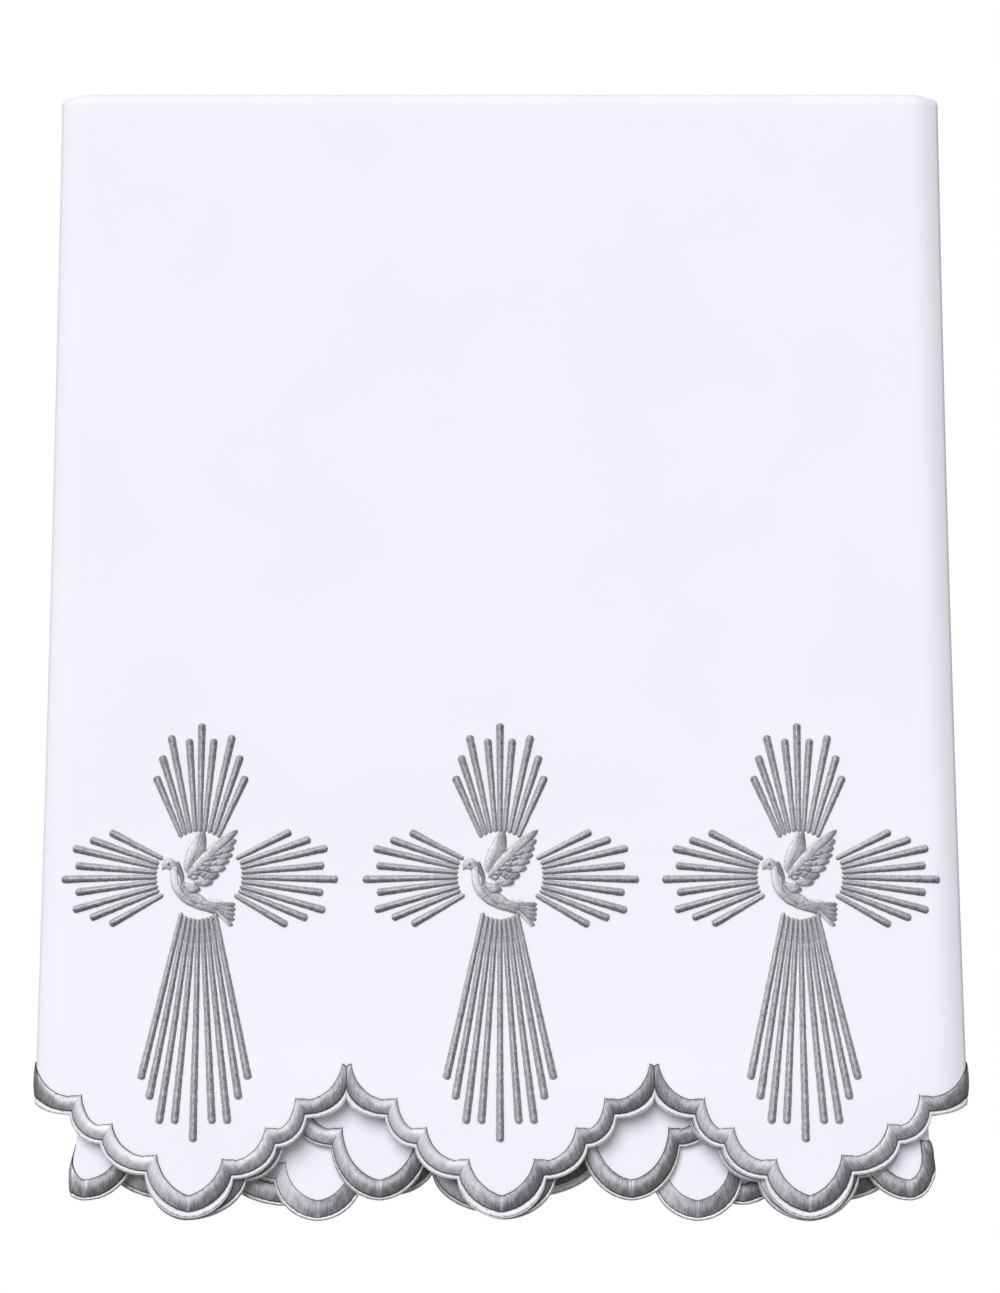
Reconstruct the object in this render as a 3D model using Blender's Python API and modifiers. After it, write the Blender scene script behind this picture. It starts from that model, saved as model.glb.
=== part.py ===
"""A folded altar cloth, lying flat with its embroidered end up.

The cloth is made as a real one is: it is cut flat with scalloped long sides, it gets its thickness,
and then it is folded, first to and fro across its width and then over at the top.
X runs across the folded pile, +Y runs up to the top fold, and the pile lies on Z = 0.

Three coordinates say where a point of the flat cloth is: u along the scalloped sides, p from the
front hem up over the top fold to the back hem, and w up from the middle of the cloth.
"""

import math
from collections import namedtuple

import bpy
from mathutils import Vector
from mathutils.geometry import delaunay_2d_cdt

MM = 0.001

# The cloth
SHEET = 1.0 * MM
BORDER = 2.0 * MM  # the cloth and the satin stitching on both of its faces
PITCH = 2.3 * MM  # from one layer to the next
REPEAT = 155.0 * MM  # from one lobe of the hem to the next

# The folded pile
HALF_WIDTH = 233.0 * MM
LENGTH = 591.3 * MM  # from the top fold to the tips of the front lobes
LAYERS = 4  # in the front half of the pile, and as many in the back half
DROOP = 6.0 * MM  # the side folds of the front sink this far past the folds inside them
DROOP_FROM = 217.0 * MM
WAIST = 1.0 * MM  # the pile is this much narrower half way up, on each side
RIGHT_SPREAD, SPREAD_FROM = 1.6 * MM, 165.0 * MM  # its right side spreads towards the front hem
HEM_LIFT = 3.2 * MM  # the borders lie on each other and lift the outer layers here

# The folds inside the pile, as distances from its middle line
LEFT_NESTED, RIGHT_NESTED = 210.8 * MM, 214.0 * MM
BULGE = 3.0 * MM  # the nested folds stand out this far where the satin border runs over them
BULGE_FROM, BULGE_TO = 44.0 * MM, 22.0 * MM  # above the tips of the front lobes
BULGE_INSIDE = 198.0 * MM
LEFT_TURN, RIGHT_TURN = 28.0 * MM, 31.9 * MM
LEFT_END, RIGHT_END = 15.0 * MM, 18.6 * MM

# The steps of the mesh
FOLD_STEPS = 5
TOP_STEPS = 6
SCALLOP_STEPS = 3
HIDDEN_SCALLOP_STEPS = 2
SAME_PLACE = 0.4 * MM

MID_HEIGHT = (LAYERS - 0.5) * PITCH + SHEET / 2
TOP_LINE = LENGTH - MID_HEIGHT  # the line that the pile turns over at the top
OVER_TOP = math.pi * LAYERS / 2 * PITCH  # the middle layer's way over the top
BACK_START = TOP_LINE + OVER_TOP

# The runs of cloth between the folds, from the left free end to the right one. layer 1 is the outermost.
Run = namedtuple("Run", "layer start end")
RUNS = {
    "left_inner": Run(4, LEFT_END, -LEFT_NESTED),
    "left_middle": Run(3, -LEFT_NESTED, LEFT_TURN),
    "left_outer": Run(2, LEFT_TURN, -HALF_WIDTH),
    "front": Run(1, -HALF_WIDTH, HALF_WIDTH),
    "right_outer": Run(2, HALF_WIDTH, RIGHT_TURN),
    "right_middle": Run(3, RIGHT_TURN, RIGHT_NESTED),
    "right_inner": Run(4, RIGHT_NESTED, RIGHT_END),
}

# A lobe of a hem: the run that it is on, the place of its tip across the pile, how far its tip
# stays above the tips of the front lobes, its lowest scallop's half widths before its tip and after it
# in the order of u, that scallop's depths there, and how far the cusp after it is moved along u and up.
Lobe = namedtuple(
    "Lobe", "run across lift before after depth_before depth_after cusp_shift cusp_rise", defaults=(0.0, 0.0)
)
TIP = (22.1 * MM, 22.1 * MM, 19.3 * MM, 19.3 * MM)
PEEKING_TIP = (25.6 * MM, 22.3 * MM, 19.3 * MM, 19.3 * MM)
FAR_PEEKING_TIP = (29.8 * MM, 20.4 * MM, 19.3 * MM, 21.3 * MM)
RIGHT_PEEKING_TIP = (25.2 * MM, 25.2 * MM, 21.3 * MM, 19.3 * MM)
LEFT_FRONT_TIP = (22.1 * MM, 22.1 * MM, 21.3 * MM, 19.3 * MM)
RIGHT_FRONT_TIP = (22.1 * MM, 22.1 * MM, 19.3 * MM, 21.3 * MM)
DEEP_TIP = (24.6 * MM, 24.6 * MM, 26.2 * MM, 26.2 * MM)
LEFT_EDGE_TIP = (12.0 * MM, 24.6 * MM, 17.5 * MM, 26.2 * MM)
RIGHT_EDGE_TIP = (24.6 * MM, 12.0 * MM, 26.2 * MM, 20.0 * MM)
FRONT_HEM = (
    Lobe("left_inner", 62 * MM, -1.0 * MM, *TIP),
    Lobe("left_inner", -90.8 * MM, -1.0 * MM, *TIP),
    Lobe("left_middle", -205.4 * MM, 9.0 * MM, *LEFT_EDGE_TIP),
    Lobe("left_middle", -60.1 * MM, 9.0 * MM, *DEEP_TIP),
    Lobe("left_outer", 2 * MM, -0.4 * MM, *PEEKING_TIP, 2 * MM, 3.5 * MM),
    Lobe("left_outer", -155.8 * MM, -0.8 * MM, *FAR_PEEKING_TIP, -3 * MM, 2 * MM),
    Lobe("front", -154.4 * MM, 0.0, *LEFT_FRONT_TIP),
    Lobe("front", 0.8 * MM, 0.0, *TIP),
    Lobe("front", 153.6 * MM, 0.0, *RIGHT_FRONT_TIP, 2 * MM, 2 * MM),
    Lobe("right_outer", 153.4 * MM, -1.2 * MM, *RIGHT_PEEKING_TIP),
    Lobe("right_middle", 65.5 * MM, 9.0 * MM, *DEEP_TIP),
    Lobe("right_middle", 203.3 * MM, 9.0 * MM, *RIGHT_EDGE_TIP),
    Lobe("right_inner", 98.6 * MM, -1.0 * MM, *TIP),
    Lobe("right_inner", -52 * MM, -1.0 * MM, *TIP),
)
BACK_HEM = (
    Lobe("left_inner", 46 * MM, 7.0 * MM, *TIP),
    Lobe("left_inner", -107 * MM, 6.5 * MM, 22.1 * MM, 33.0 * MM, 19.3 * MM, 19.3 * MM),
    Lobe("left_middle", -165 * MM, 9.5 * MM, 33.0 * MM, 22.1 * MM, 19.3 * MM, 19.3 * MM),
    Lobe("left_middle", -52.6 * MM, 12.0 * MM, *TIP),
    Lobe("left_outer", -2 * MM, 3.0 * MM, 22.1 * MM, 32.0 * MM, 19.3 * MM, 19.3 * MM),
    Lobe("left_outer", -155 * MM, 12.0 * MM, *TIP),
    Lobe("front", -155 * MM, 12.0 * MM, *TIP),
    Lobe("front", 14 * MM, 11.0 * MM, 30.0 * MM, 37.0 * MM, 19.3 * MM, 19.3 * MM),
    Lobe("front", 155 * MM, 12.0 * MM, *TIP),
    Lobe("right_outer", 155 * MM, 12.0 * MM, *TIP),
    Lobe("right_middle", 65.5 * MM, 12.0 * MM, *TIP),
    Lobe("right_middle", 165 * MM, 8.5 * MM, 22.1 * MM, 36.0 * MM, 19.3 * MM, 19.3 * MM),
    Lobe("right_inner", 121 * MM, 7.0 * MM, *TIP),
    Lobe("right_inner", -38 * MM, 7.0 * MM, *TIP),
)
LOBE_DEPTH = 61.5 * MM
CUSP_DIP = 2.0 * MM  # the cut is this much shallower at a cusp
# The angles that a scallop turns through from its upper end, the lowest one of a lobe and the others
TIP_SWEEP = (math.radians(6), math.radians(88))
SIDE_SWEEP = (math.radians(6), math.radians(90))
# The three scallops down a lobe's flank, as shares of its width and depth beside the tip scallop.
FLANK_WIDTHS = (19.5 / 55.4, 14.7 / 55.4, 21.2 / 55.4)
FLANK_DEPTHS = (12.2 / 42.2, 14.5 / 42.2, 15.5 / 42.2)
# From the cut edge to the inner edge of the satin border: towards the lobe's middle, and up.
INSET_AT_CUSP = (0.0, 15.2 * MM)
INSET_AT_NOTCH = (5.9 * MM, 9.8 * MM)
INSET_AT_TIP = (0.0, 11.2 * MM)
CREST_SHARE = 0.6  # the border is highest at this share of the way in from the cut edge

# The embroidered crosses of rays on the front
CROSSES = (-152.9 * MM, 0.0 * MM, 152.0 * MM)
CROSS_HEIGHT = 170.6 * MM
RAY_HEIGHT = 0.8 * MM
RAY_ROOT_HALF_WIDTH, RAY_TIP_HALF_WIDTH = 0.7 * MM, 1.9 * MM
# A ray of a fan: how far to the side its root and its tip are, and how far out from the middle.
Ray = namedtuple("Ray", "root_side root_out tip_side tip_out")
UPPER_FAN = (
    Ray(0.0, 22.2 * MM, 0.0, 77.7 * MM),
    Ray(2.3 * MM, 22.2 * MM, 6.3 * MM, 69.6 * MM),
    Ray(4.7 * MM, 21.7 * MM, 15.7 * MM, 71.6 * MM),
    Ray(7.0 * MM, 20.7 * MM, 20.0 * MM, 60.9 * MM),
    Ray(9.2 * MM, 19.5 * MM, 22.8 * MM, 50.3 * MM),
)
SIDE_FAN = (
    Ray(0.0, 21.0 * MM, 0.0, 68.5 * MM),
    Ray(2.3 * MM, 21.0 * MM, 6.8 * MM, 61.5 * MM),
    Ray(4.6 * MM, 20.5 * MM, 15.6 * MM, 63.0 * MM),
    Ray(6.8 * MM, 20.0 * MM, 19.5 * MM, 53.5 * MM),
    Ray(9.0 * MM, 18.0 * MM, 23.0 * MM, 44.0 * MM),
)
LOWER_FAN = (
    Ray(0.0, 21.8 * MM, 0.0, 133.6 * MM),
    Ray(2.0 * MM, 21.4 * MM, 9.4 * MM, 124.6 * MM),
    Ray(4.1 * MM, 20.9 * MM, 17.1 * MM, 124.6 * MM),
    Ray(6.3 * MM, 20.1 * MM, 22.5 * MM, 112.6 * MM),
    Ray(8.4 * MM, 18.4 * MM, 27.0 * MM, 102.6 * MM),
)
# The way that each fan points, across and up.
FANS = (
    (UPPER_FAN, (0, 1)),
    (SIDE_FAN, (1, -0.025)),
    (LOWER_FAN, (0, -1)),
    (SIDE_FAN, (-1, -0.025)),
)

WHITE_CLOTH = (0.80, 0.82, 0.88, 1.0)


def level(layer):
    """How far a layer of the front half is above the middle of the pile."""
    return (LAYERS + 0.5 - layer) * PITCH


def section_stretches():
    """The folded section as stretches of u: (length, kind, facts), straight runs and half turns by turns."""
    stretches = []
    runs = list(RUNS.values())
    turn = PITCH / 2
    for index, run in enumerate(runs):
        way = math.copysign(1, run.end - run.start)
        start = run.start + way * turn * (index > 0)
        end = run.end - way * turn * (index < len(runs) - 1)
        stretches.append((abs(end - start), "run", (start, way, level(run.layer))))
        if index < len(runs) - 1:
            down = math.copysign(1, level(runs[index + 1].layer) - level(run.layer))
            middle = (level(run.layer) + level(runs[index + 1].layer)) / 2
            stretches.append((math.pi * turn, "turn", (end, way, middle, down)))
    return stretches


STRETCHES = section_stretches()
CLOTH_WIDTH = sum(length for length, _, _ in STRETCHES)


def section(u):
    """The folded section at u: its place across and above the middle, and the way that its good side faces."""
    rest = u
    for index, (length, kind, facts) in enumerate(STRETCHES):
        if rest <= length or index == len(STRETCHES) - 1:
            break
        rest -= length
    if kind == "run":
        start, way, height = facts
        return start + way * rest, height, 0.0, way
    start, way, middle, down = facts
    radius = PITCH / 2
    angle = rest / radius
    out, along = math.sin(angle), math.cos(angle)
    # On an outer turn the good side faces out of the curl, and on an inner one it faces in.
    facing = -way * down
    return start + way * radius * out, middle - down * radius * along, facing * way * out, way * along


def u_of(name, across):
    """The u of a place across the pile on a named run, past the run's ends too."""
    rest = 0.0
    for index, run_name in enumerate(RUNS):
        length, _, (start, way, _) = STRETCHES[2 * index]
        if run_name == name:
            return rest + way * (across - start)
        rest += length + math.pi * PITCH / 2
    raise KeyError(name)


def smooth(start, end, value):
    """Rises smoothly from 0 at start to 1 at end."""
    share = min(max((value - start) / (end - start), 0.0), 1.0)
    return share * share * (3 - 2 * share)


def folded(point):
    """Where a point (u, p, w) of the flat cloth is in the folded pile."""
    u, p, w = point
    across, height, side_across, side_up = section(u)
    nested = height < (level(2) + level(3)) / 2
    across += w * side_across
    height += w * side_up
    turn = min(max((p - TOP_LINE) / OVER_TOP, 0.0), 1.0) * math.pi
    past = max(abs(across) - DROOP_FROM, 0.0) / (HALF_WIDTH - DROOP_FROM)
    height -= DROOP * past * past * (1 + math.cos(turn)) / 2
    if p > BACK_START:
        along = TOP_LINE - (p - BACK_START)
    else:
        along = min(p, TOP_LINE) + height * math.sin(turn)
    up = MID_HEIGHT + height * math.cos(turn)
    if nested:
        bulge = BULGE * smooth(BULGE_INSIDE, LEFT_NESTED, abs(across)) * smooth(BULGE_FROM, BULGE_TO, p)
        across += math.copysign(bulge, across)
    share = min(max(along / LENGTH, 0.0), 1.0)
    across *= 1 - WAIST / HALF_WIDTH * math.sin(math.pi * share)
    if not nested:
        across += RIGHT_SPREAD * smooth(SPREAD_FROM, HALF_WIDTH, across) * (1 - share) ** 2.2
    stacked = smooth(level(3), level(1), height) * smooth(100 * MM, 50 * MM, p)
    up += HEM_LIFT * stacked * smooth(HALF_WIDTH, HALF_WIDTH - 60 * MM, abs(across))
    # The border of the lowest layer is pressed flat on what the pile lies on.
    return Vector((across, along - LENGTH / 2, max(up, 0.0)))


def scallop(start, end, steps, sweep):
    """Points along one scallop, from its upper end to its lower end."""
    first, last = sweep
    points = []
    for step in range(steps + 1):
        angle = first + (last - first) * step / steps
        aside = (math.cos(first) - math.cos(angle)) / (math.cos(first) - math.cos(last))
        down = (math.sin(angle) - math.sin(first)) / (math.sin(last) - math.sin(first))
        points.append((start[0] + (end[0] - start[0]) * aside, start[1] + (end[1] - start[1]) * down))
    return points


def half_lobe(cusp, tip, lobe, steps, inset):
    """One flank of a lobe, from the cusp beside it down to its tip. inset is 0 on the cut edge and 1 on the
    inner edge of the border."""
    way = math.copysign(1, tip[0] - cusp[0])
    width = abs(tip[0] - cusp[0]) - (lobe.before if way > 0 else lobe.after)
    depth = cusp[1] - tip[1] - (lobe.depth_before if way > 0 else lobe.depth_after)
    corners = [cusp]
    for share_width, share_depth in zip(FLANK_WIDTHS, FLANK_DEPTHS):
        across, up = corners[-1]
        corners.append((across + way * width * share_width, up - depth * share_depth))
    corners.append(tip)
    corners[0] = (cusp[0], cusp[1] - CUSP_DIP)
    shifts = [INSET_AT_CUSP, INSET_AT_NOTCH, INSET_AT_NOTCH, INSET_AT_NOTCH, INSET_AT_TIP]
    moved = [
        (across + way * inset * shift[0], up + inset * shift[1])
        for (across, up), shift in zip(corners, shifts)
    ]
    points = [moved[0]]
    for start, end in zip(moved, moved[1:]):
        points += scallop(start, end, steps, TIP_SWEEP if end is moved[-1] else SIDE_SWEEP)[1:]
    return points


def hem(lobes, steps, inset):
    """A hem's line from end to end of the cloth, as (u, height above the front tips)."""
    tips = [(u_of(lobe.run, lobe.across), lobe.lift) for lobe in lobes]
    line = []
    for index in range(len(lobes) - 1):
        cusp = (
            (tips[index][0] + tips[index + 1][0]) / 2 + lobes[index].cusp_shift,
            (tips[index][1] + tips[index + 1][1]) / 2 + LOBE_DEPTH + lobes[index].cusp_rise,
        )
        falling = half_lobe(cusp, tips[index + 1], lobes[index + 1], steps, inset)
        rising = half_lobe(cusp, tips[index], lobes[index], steps, inset)[::-1]
        line += rising[bool(line) :] + falling[1:]
    return line


def height_at(line, u):
    """The height of a line of (u, height) at u, straight between its points."""
    for (u0, h0), (u1, h1) in zip(line, line[1:]):
        if u0 <= u <= u1:
            return h0 + (h1 - h0) * (u - u0) / max(u1 - u0, 1e-9)
    raise ValueError(u)


def with_columns(line, columns):
    """The line cut to the cloth's width, with a point on each column and none crowded beside one."""
    kept = [
        (u, h)
        for u, h in line
        if 0 < u < CLOTH_WIDTH and min(abs(u - column) for column in columns) > SAME_PLACE
    ]
    return sorted(kept + [(u, height_at(line, u)) for u in columns])


def fold_columns():
    """The u of each line across which the cloth bends, with a few between in the long flat runs."""
    columns, rest = [0.0], 0.0
    for length, kind, facts in STRETCHES:
        if kind == "turn":
            columns += [rest + length * step / FOLD_STEPS for step in range(FOLD_STEPS + 1)]
        rest += length
    columns.append(CLOTH_WIDTH)
    for name in ("left_outer", "front", "right_outer"):
        for side in (-1, 1):
            across = [side * (DROOP_FROM + share * (HALF_WIDTH - DROOP_FROM)) for share in (0, 0.4, 0.7)]
            run = RUNS[name]
            low, high = sorted((run.start, run.end))
            columns += [u_of(name, x) for x in across if low < x < high]
    columns += [u_of("front", x * REPEAT) for x in (-0.5, 0.5)]
    columns += [u_of("left_outer", x * REPEAT) for x in (-1, -0.5)]
    columns += [u_of("left_middle", x * REPEAT) for x in (-1, -0.5)]
    columns += [u_of("right_outer", REPEAT), u_of("right_middle", REPEAT)]
    return sorted(columns)


def fold_rows():
    """The p of each line across the whole cloth, closely set where it turns over the top."""
    front = [95 * MM, 330 * MM, 540 * MM]
    top = [TOP_LINE + OVER_TOP * step / TOP_STEPS for step in range(TOP_STEPS + 1)]
    back = [BACK_START + 40 * MM, BACK_START + 250 * MM, BACK_START + 480 * MM]
    return front + top + back


class Pattern:
    """The flat cut pattern: points, the lines that its mesh must keep, and how far the stitching on a line
    stands out above and below the cloth."""

    def __init__(self):
        self.points = []
        self.lines = []
        self.raised = {}

    def add(self, points, raised=None):
        """Adds a chain of points as lines to keep, raised by (above, below)."""
        first = len(self.points)
        self.points += [Vector(point) for point in points]
        for index in range(first, len(self.points) - 1):
            if raised:
                self.raised[len(self.lines)] = raised
            self.lines.append((index, index + 1))
        return list(range(first, len(self.points)))


def add_rays(pattern, middle):
    """One cross: four fans of rays, each a low ridge with a pointed foot at each end."""
    for fan, (out_x, out_y) in FANS:
        for ray in fan:
            for side in (-1, 1) if ray.tip_side else (1,):
                root = (ray.root_out, side * ray.root_side)
                tip = (ray.tip_out, side * ray.tip_side)
                way = Vector((tip[0] - root[0], tip[1] - root[1])).normalized()
                across = Vector((-way.y, way.x))
                a, b = Vector(root), Vector(tip)
                foot = [
                    a + across * RAY_ROOT_HALF_WIDTH,
                    b + across * RAY_TIP_HALF_WIDTH,
                    b - across * RAY_TIP_HALF_WIDTH,
                    a - across * RAY_ROOT_HALF_WIDTH,
                ]
                crest = [a + way * RAY_ROOT_HALF_WIDTH, b - way * RAY_TIP_HALF_WIDTH]

                def placed(point):
                    return (
                        middle[0] + point.x * out_x - point.y * out_y,
                        middle[1] + point.x * out_y + point.y * out_x,
                    )

                pattern.add([placed(point) for point in foot + foot[:1]])
                pattern.add([placed(point) for point in crest], (RAY_HEIGHT, 0.0))


def cut_pattern():
    """The whole flat pattern, as (outline, pattern)."""
    pattern = Pattern()
    columns = fold_columns()

    def back_p(height):
        return BACK_START + TOP_LINE - height

    front_edge = with_columns(hem(FRONT_HEM, SCALLOP_STEPS, 0), columns)
    back_edge = [(u, back_p(h)) for u, h in with_columns(hem(BACK_HEM, HIDDEN_SCALLOP_STEPS, 0), columns)]
    outline = pattern.add(front_edge + back_edge[::-1])

    low, high = dict(front_edge), dict(back_edge)
    for column in columns[1:-1]:
        pattern.add([(column, low[column]), (column, high[column])])
    for row in fold_rows():
        pattern.add([(0.0, row), (CLOTH_WIDTH, row)])
    for name, nested in (("left_middle", -LEFT_NESTED), ("right_middle", RIGHT_NESTED)):
        middle = u_of(name, nested)
        for share in (0, 0.33, 0.67, 1):
            row = BULGE_FROM + (BULGE_TO - BULGE_FROM) * share
            pattern.add([(middle - 12 * MM, row), (middle + 12 * MM, row)])
    border = (BORDER - SHEET) / 2
    for inset, raised in ((CREST_SHARE, (border, border)), (1.0, None)):
        line = with_columns(hem(FRONT_HEM, SCALLOP_STEPS, inset), columns)
        pattern.add(line, raised)
    for across in CROSSES:
        add_rays(pattern, (u_of("front", across), CROSS_HEIGHT))
    return outline, pattern


def folded_cloth(name):
    """Cuts the pattern, gives it its thickness and folds it."""
    outline, pattern = cut_pattern()
    points, edges, faces, _, from_lines, _ = delaunay_2d_cdt(
        pattern.points, pattern.lines, [outline], 1, 1e-7
    )
    flat = bpy.data.meshes.new(name + "_flat")
    flat.from_pydata([(x, y, 0.0) for x, y in points], [], faces)
    cloth = bpy.data.objects.new(name, flat)
    group = bpy.data.collections.new("folded_altar_cloth")
    bpy.context.scene.collection.children.link(group)
    group.objects.link(cloth)

    thickness = cloth.modifiers.new("thickness", "SOLIDIFY")
    thickness.thickness = SHEET
    thickness.offset = 0
    bpy.context.view_layer.update()
    mesh = bpy.data.meshes.new_from_object(cloth.evaluated_get(bpy.context.evaluated_depsgraph_get()))
    cloth.modifiers.clear()

    raised = [(0.0, 0.0)] * len(points)
    for edge, sources in zip(edges, from_lines):
        for source in set(sources) & set(pattern.raised):
            for end in edge:
                raised[end] = pattern.raised[source]
    for index, vertex in enumerate(mesh.vertices):
        u, p, w = vertex.co
        above, below = raised[index % len(points)]
        vertex.co = folded((u, p, w + above if w > 0 else w - below))
    cloth.data = mesh
    mesh.name = name
    return cloth


def coloured(cloth):
    """Gives the cloth its plain white material."""
    material = bpy.data.materials.new("white_cloth")
    material.use_nodes = True
    shader = material.node_tree.nodes["Principled BSDF"]
    shader.inputs["Base Color"].default_value = WHITE_CLOTH
    shader.inputs["Roughness"].default_value = 0.8
    cloth.data.materials.clear()
    cloth.data.materials.append(material)


for startup in list(bpy.data.objects):
    bpy.data.objects.remove(startup)
coloured(folded_cloth("altar_cloth"))
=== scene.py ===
"""The looks of a folded altar cloth: fine white cloth, satin-stitched scalloped hems, and three embroidered
crosses of rays, each around a dove. Everything is laid out on the flat cloth and then folded with it."""

import math
from collections import namedtuple

import bpy
import numpy as np
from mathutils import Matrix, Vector
from mathutils.geometry import delaunay_2d_cdt


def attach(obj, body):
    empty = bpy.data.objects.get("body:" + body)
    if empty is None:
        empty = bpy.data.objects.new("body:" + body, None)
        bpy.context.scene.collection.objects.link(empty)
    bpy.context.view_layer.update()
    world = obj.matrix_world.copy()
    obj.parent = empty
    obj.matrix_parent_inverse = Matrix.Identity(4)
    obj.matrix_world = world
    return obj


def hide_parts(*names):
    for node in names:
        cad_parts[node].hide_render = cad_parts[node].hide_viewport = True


MM = 0.001
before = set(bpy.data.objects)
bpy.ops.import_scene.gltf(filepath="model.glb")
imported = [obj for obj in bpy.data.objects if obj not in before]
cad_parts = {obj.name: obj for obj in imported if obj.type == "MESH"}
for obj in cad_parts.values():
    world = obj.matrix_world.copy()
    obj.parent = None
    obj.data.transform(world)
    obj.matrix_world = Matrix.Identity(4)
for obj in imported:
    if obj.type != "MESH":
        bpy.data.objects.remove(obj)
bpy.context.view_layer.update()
rng = np.random.default_rng(7)

# The folded pile, in the same sizes as its solid. A point of the flat cloth is (u, p, w): u runs across it
# from its left free end, p up the front from the tips of the front lobes and on down the back, and w is
# how far the point is above the middle of the sheet.
SHEET = 1.0 * MM  # how thick the cloth is
PITCH = 2.3 * MM  # from one layer to the next
HALF_WIDTH = 233.0 * MM
LENGTH = 591.3 * MM
LAYERS = 4
DROOP, DROOP_FROM = 6.0 * MM, 217.0 * MM  # its side folds sag from here outwards
WAIST = 1.0 * MM  # each side is this much further in half way up
RIGHT_SPREAD, SPREAD_FROM = 1.6 * MM, 165.0 * MM  # its right side spreads towards the front hem
SPREAD_FADE = 2.2  # how fast that ends further up, as a power
HEM_LIFT = 3.2 * MM  # the borders lie on each other and lift the outer layers by this at the hem
LIFT_FROM, LIFT_TO = 100.0 * MM, 50.0 * MM  # above the tips of the front lobes
LIFT_SIDE = 60.0 * MM  # how far in from the sides the lift is whole
LEFT_NESTED, RIGHT_NESTED = 210.8 * MM, 214.0 * MM
BULGE = 3.0 * MM  # the nested folds stand out this far where the satin border runs over them
BULGE_FROM, BULGE_TO = 44.0 * MM, 22.0 * MM  # above the tips of the front lobes
BULGE_INSIDE = 198.0 * MM
LEFT_TURN, RIGHT_TURN = 28.0 * MM, 31.9 * MM
LEFT_END, RIGHT_END = 15.0 * MM, 18.6 * MM

MID_HEIGHT = (LAYERS - 0.5) * PITCH + SHEET / 2
TOP_LINE = LENGTH - MID_HEIGHT
OVER_TOP = math.pi * LAYERS / 2 * PITCH
BACK_START = TOP_LINE + OVER_TOP
BACK_HEM_LINE = BACK_START + TOP_LINE  # behind the tips of the front lobes
TINY = 1e-6

# The runs of cloth between the side folds, from the left free end to the right one, with layer 1 in front
Run = namedtuple("Run", "layer start end")
RUNS = {
    "left_inner": Run(4, LEFT_END, -LEFT_NESTED),
    "left_middle": Run(3, -LEFT_NESTED, LEFT_TURN),
    "left_outer": Run(2, LEFT_TURN, -HALF_WIDTH),
    "front": Run(1, -HALF_WIDTH, HALF_WIDTH),
    "right_outer": Run(2, HALF_WIDTH, RIGHT_TURN),
    "right_middle": Run(3, RIGHT_TURN, RIGHT_NESTED),
    "right_inner": Run(4, RIGHT_NESTED, RIGHT_END),
}

# A lobe of a hem: the run that it is on, the place of its tip across the pile, how far its tip stays above
# the tips of the front lobes, its lowest scallop's half widths before its tip and after it in the order of
# u, that scallop's depths there, and how far the cusp after it is moved along u and up
Lobe = namedtuple(
    "Lobe", "run across lift before after depth_before depth_after cusp_shift cusp_rise", defaults=(0.0, 0.0)
)


def lobe_of(run, *sizes):
    """A lobe, from its sizes in millimetres."""
    return Lobe(run, *(size * MM for size in sizes))


# The half widths and the depths of lowest scallops, in millimetres
TIP = (22.1, 22.1, 19.3, 19.3)
PEEKING_TIP = (25.6, 22.3, 19.3, 19.3)
FAR_PEEKING_TIP = (29.8, 20.4, 19.3, 21.3)
RIGHT_PEEKING_TIP = (25.2, 25.2, 21.3, 19.3)
LEFT_FRONT_TIP = (22.1, 22.1, 21.3, 19.3)
RIGHT_FRONT_TIP = (22.1, 22.1, 19.3, 21.3)
DEEP_TIP = (24.6, 24.6, 26.2, 26.2)
LEFT_EDGE_TIP = (12.0, 24.6, 17.5, 26.2)
RIGHT_EDGE_TIP = (24.6, 12.0, 26.2, 20.0)
FRONT_HEM = (
    lobe_of("left_inner", 62, -1.0, *TIP),
    lobe_of("left_inner", -90.8, -1.0, *TIP),
    lobe_of("left_middle", -205.4, 9.0, *LEFT_EDGE_TIP),
    lobe_of("left_middle", -60.1, 9.0, *DEEP_TIP),
    lobe_of("left_outer", 2, -0.4, *PEEKING_TIP, 2, 3.5),
    lobe_of("left_outer", -155.8, -0.8, *FAR_PEEKING_TIP, -3, 2),
    lobe_of("front", -154.4, 0.0, *LEFT_FRONT_TIP),
    lobe_of("front", 0.8, 0.0, *TIP),
    lobe_of("front", 153.6, 0.0, *RIGHT_FRONT_TIP, 2, 2),
    lobe_of("right_outer", 153.4, -1.2, *RIGHT_PEEKING_TIP),
    lobe_of("right_middle", 65.5, 9.0, *DEEP_TIP),
    lobe_of("right_middle", 203.3, 9.0, *RIGHT_EDGE_TIP),
    lobe_of("right_inner", 98.6, -1.0, *TIP),
    lobe_of("right_inner", -52, -1.0, *TIP),
)
BACK_HEM = (
    lobe_of("left_inner", 46, 7.0, *TIP),
    lobe_of("left_inner", -107, 6.5, 22.1, 33.0, 19.3, 19.3),
    lobe_of("left_middle", -165, 9.5, 33.0, 22.1, 19.3, 19.3),
    lobe_of("left_middle", -52.6, 12.0, *TIP),
    lobe_of("left_outer", -2, 3.0, 22.1, 32.0, 19.3, 19.3),
    lobe_of("left_outer", -155, 12.0, *TIP),
    lobe_of("front", -155, 12.0, *TIP),
    lobe_of("front", 14, 11.0, 30.0, 37.0, 19.3, 19.3),
    lobe_of("front", 155, 12.0, *TIP),
    lobe_of("right_outer", 155, 12.0, *TIP),
    lobe_of("right_middle", 65.5, 12.0, *TIP),
    lobe_of("right_middle", 165, 8.5, 22.1, 36.0, 19.3, 19.3),
    lobe_of("right_inner", 121, 7.0, *TIP),
    lobe_of("right_inner", -38, 7.0, *TIP),
)
LOBE_DEPTH = 61.5 * MM
CUSP_DIP = 2.0 * MM  # the cut is this much shallower at a cusp
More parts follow.
